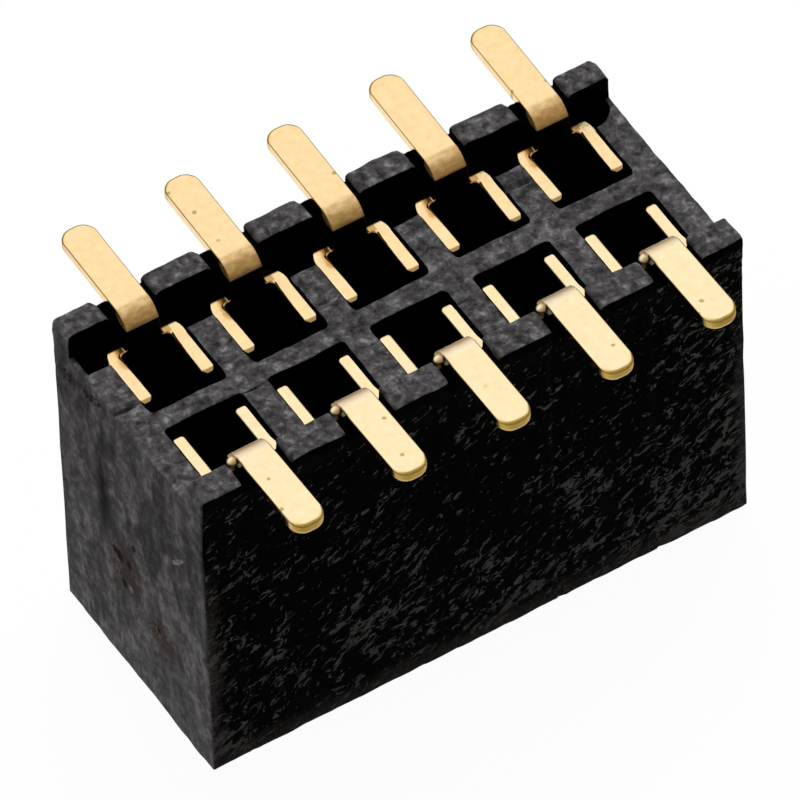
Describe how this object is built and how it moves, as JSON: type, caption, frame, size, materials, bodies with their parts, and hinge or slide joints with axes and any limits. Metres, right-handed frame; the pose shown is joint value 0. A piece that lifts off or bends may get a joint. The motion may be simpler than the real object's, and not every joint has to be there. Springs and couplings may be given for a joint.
{
  "type": "surface-mount pin socket",
  "caption": "Two-row socket for a circuit board: formed gold-plated contacts in a moulded housing, with bent solder tails along both sides.",
  "frame": {"origin": "centre of the mating face, which is the face that the part stands on", "axes": "+X along the rows, +Y across them towards the rear row, +Z from the mating face up to the solder tails"},
  "size_m": [0.0068, 0.0048, 0.0045],
  "materials": {
    "housing": "black glass-filled moulding, dull, with fine pale fibre marks",
    "contact": "stamped phosphor bronze with a pale satin gold plate"
  },
  "bodies": {
    "root": {"housing": "housing", "contact_front_1": "contact", "contact_front_2": "contact", "contact_front_3": "contact", "contact_front_4": "contact", "contact_front_5": "contact", "contact_rear_1": "contact", "contact_rear_2": "contact", "contact_rear_3": "contact", "contact_rear_4": "contact", "contact_rear_5": "contact"}
  },
  "joints": []
}
